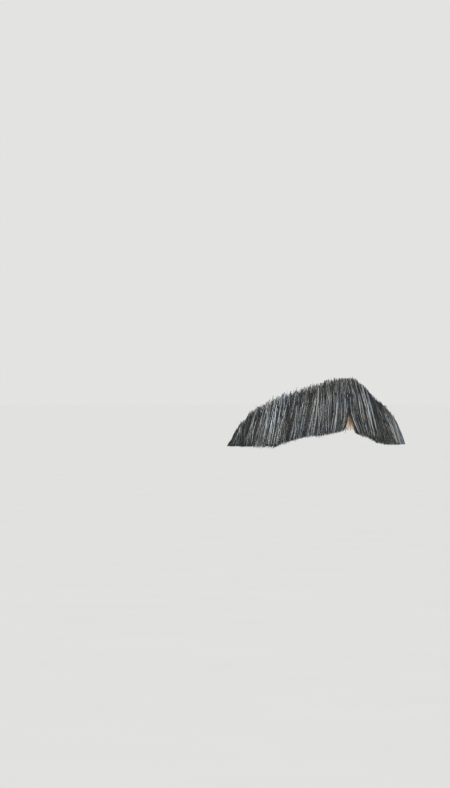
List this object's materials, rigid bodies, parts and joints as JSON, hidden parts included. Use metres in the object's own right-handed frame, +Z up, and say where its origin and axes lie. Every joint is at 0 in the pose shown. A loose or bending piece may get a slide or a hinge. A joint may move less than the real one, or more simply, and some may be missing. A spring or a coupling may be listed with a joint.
{
  "type": "false moustache",
  "caption": "False moustache of knotted grey hair on a curved lace backing, parted in the middle, combed outwards and trimmed along the lip.",
  "frame": {"origin": "on the back of the lace, in the middle of the lip, under the parting", "axes": "+Z up, -Y the way the moustache faces, +X towards the wearer's left along the moustache's length"},
  "size_m": [0.0924, 0.0241, 0.0293],
  "materials": {
    "hair": "grey mixed hair, charcoal with silver strands, soft gloss",
    "lace": "matte flesh-toned net with knots"
  },
  "bodies": {
    "root": {"hair_right": "hair", "hair_left": "hair", "net_backing": "lace"}
  },
  "joints": []
}
